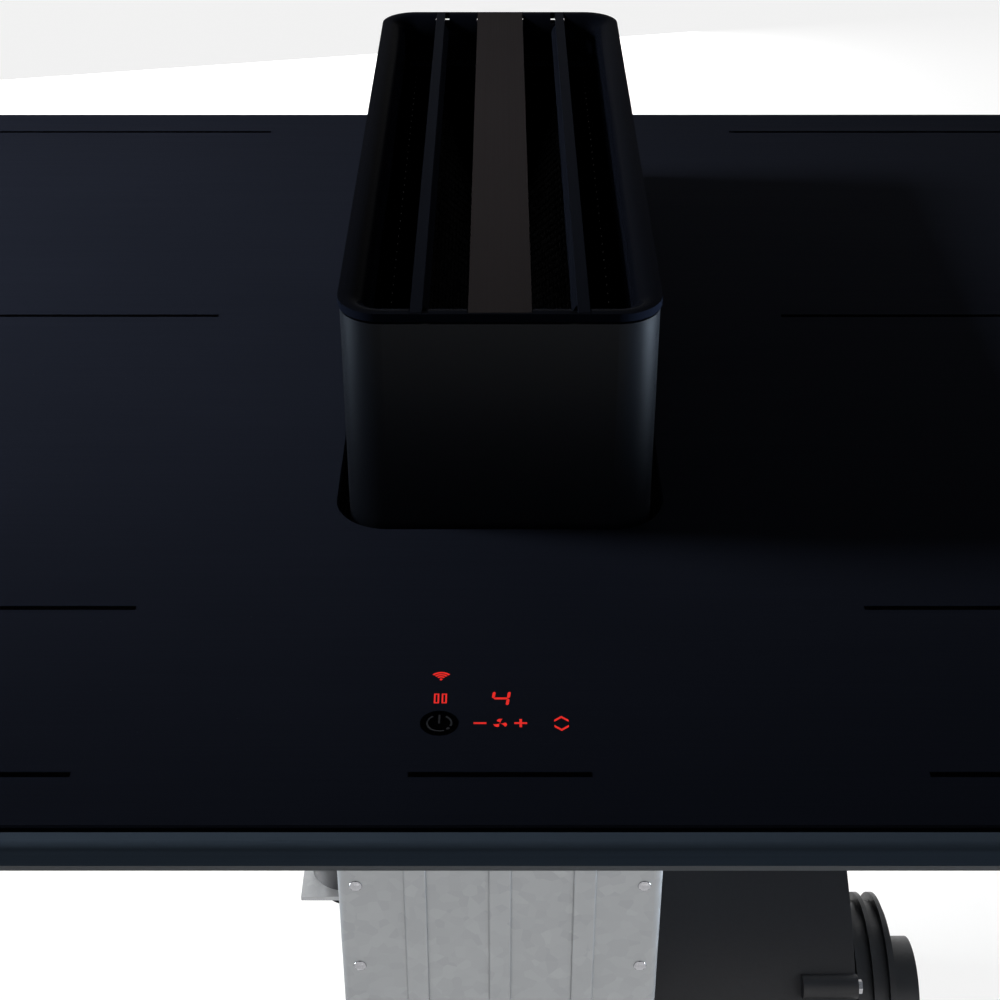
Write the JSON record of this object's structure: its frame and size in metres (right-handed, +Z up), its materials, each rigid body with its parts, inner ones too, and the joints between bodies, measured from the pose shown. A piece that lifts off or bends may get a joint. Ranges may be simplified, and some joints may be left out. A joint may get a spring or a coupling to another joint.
{
  "type": "downdraft induction cooktop",
  "caption": "Induction cooktop with a rising slotted extractor tower in the middle of the glass, blower, shaft and filter cassette below.",
  "frame": {"origin": "middle of the cooktop on the worktop surface, at the underside of the rim seal", "axes": "+X to the cook's right, +Y away from the cook, +Z up"},
  "size_m": [0.88, 0.517, 0.554],
  "materials": {
    "black_glass": "matt dark anthracite, fine brushed look",
    "satin_metal": "satin",
    "seal_foam": "matt",
    "tower_finish": "satin black",
    "bezel_black": "semi-gloss",
    "bar_anodised": "warm dark grey anodised",
    "vane_black": "satin",
    "filter_mesh": "expanded mesh",
    "zinc_sheet": "galvanised",
    "bright_steel": "ground",
    "cast_alloy": "die cast",
    "white_acetal": "smooth",
    "brass": "turned",
    "black_rubber": "matt",
    "dark_plastic": "fine grain",
    "grey_plastic": "fine grain",
    "motor_metal": "satin",
    "copper_litz": "wound copper wire",
    "ferrite": "matt",
    "mica": "mica sheet",
    "board": "circuit board",
    "light_pipe": "milky",
    "sensor": "matt"
  },
  "bodies": {
    "hob": {"glass_plate": "black_glass", "front_trim": "satin_metal", "rim_seal": "seal_foam", "slot_wiper": "black_rubber", "shaft_housing": "zinc_sheet", "guide_rods": "bright_steel", "rod_brackets": "cast_alloy", "screw_bearings": "bright_steel", "drive_belt": "black_rubber", "motor_bracket": "zinc_sheet", "lift_motor": "motor_metal", "blower_scroll": "dark_plastic", "blower_cover": "dark_plastic", "blower_inlet_ring": "zinc_sheet", "blower_motor": "motor_metal", "duct_transition": "dark_plastic", "duct_spigot": "dark_plastic", "flap_pin": "bright_steel", "tray_left": "zinc_sheet", "tray_right": "zinc_sheet", "coil_front_left": "copper_litz", "coil_rear_left": "copper_litz", "coil_front_right": "copper_litz", "coil_rear_right": "copper_litz", "ferrite_bars": "ferrite", "coil_carriers": "cast_alloy", "insulation_mats": "mica", "temperature_sensors": "sensor", "power_boards": "board", "heat_sinks": "cast_alloy", "fan_frames": "dark_plastic", "control_carrier": "grey_plastic", "control_board": "board", "light_guides": "light_pipe", "terminal_box": "grey_plastic", "terminal_cover": "grey_plastic", "cable_gland": "grey_plastic", "worktop_clamps": "zinc_sheet", "screws": "bright_steel"},
    "tower": {"tower_shroud": "tower_finish", "tower_bezel": "bezel_black", "tower_carriage": "cast_alloy", "guide_bushes": "white_acetal", "lift_nut": "brass"},
    "filter_cassette": {"inlet_bar": "bar_anodised", "vane_left": "vane_black", "vane_right": "vane_black", "cross_ties": "vane_black", "filter_frame": "satin_metal", "filter_panels": "filter_mesh"},
    "screw": {"lead_screw": "bright_steel", "screw_pulley": "dark_plastic"},
    "motor_pulley": {"motor_pulley": "dark_plastic"},
    "drip_tray": {"drip_tray": "grey_plastic"},
    "blower_wheel": {"blower_wheel": "zinc_sheet"},
    "left_flap": {"flap_left": "grey_plastic"},
    "right_flap": {"flap_right": "grey_plastic"},
    "left_fan": {"fan_rotor_left": "dark_plastic"},
    "right_fan": {"fan_rotor_right": "dark_plastic"}
  },
  "joints": [
    {"name": "tower_lift", "type": "slide", "parent": "hob", "child": "tower", "axis": [0, 0, 1], "range_m": [-0.076, 0.21]},
    {"name": "cassette_lift", "type": "slide", "parent": "tower", "child": "filter_cassette", "axis": [0, 0, 1], "range_m": [0, 0.125]},
    {"name": "screw_spin", "type": "hinge", "parent": "hob", "child": "screw", "pos_m": [0, 0.2035, -0.3], "axis": [0, 0, 1], "range_deg": [-2740, 7564]},
    {"name": "motor_spin", "type": "hinge", "parent": "hob", "child": "motor_pulley", "pos_m": [-0.092, 0.2035, -0.458], "axis": [0, 0, 1], "range_deg": [-2740, 7564]},
    {"name": "drip_tray_pull", "type": "slide", "parent": "hob", "child": "drip_tray", "axis": [0, 0, -1], "range_m": [0, 0.06]},
    {"name": "blower_spin", "type": "hinge", "parent": "hob", "child": "blower_wheel", "pos_m": [0.1, 0.01, -0.345], "axis": [1, 0, 0], "continuous": true},
    {"name": "left_flap_swing", "type": "hinge", "parent": "hob", "child": "left_flap", "pos_m": [0.135, 0.2114, -0.2605], "axis": [0, 0, -1], "range_deg": [0, 70], "stiffness_Nm_per_rad": 0.01},
    {"name": "right_flap_swing", "type": "hinge", "parent": "hob", "child": "right_flap", "pos_m": [0.135, 0.2114, -0.2605], "axis": [0, 0, 1], "range_deg": [0, 70], "stiffness_Nm_per_rad": 0.01},
    {"name": "left_fan_spin", "type": "hinge", "parent": "hob", "child": "left_fan", "pos_m": [-0.2385, 0.168, -0.04], "axis": [0, 0, 1], "continuous": true},
    {"name": "right_fan_spin", "type": "hinge", "parent": "hob", "child": "right_fan", "pos_m": [0.2385, 0.168, -0.04], "axis": [0, 0, 1], "continuous": true}
  ],
  "couplings": [
    {"joint": "screw_spin", "follows": "tower_lift", "rad_per_m": 628.32},
    {"joint": "motor_spin", "follows": "tower_lift", "rad_per_m": 628.32}
  ]
}
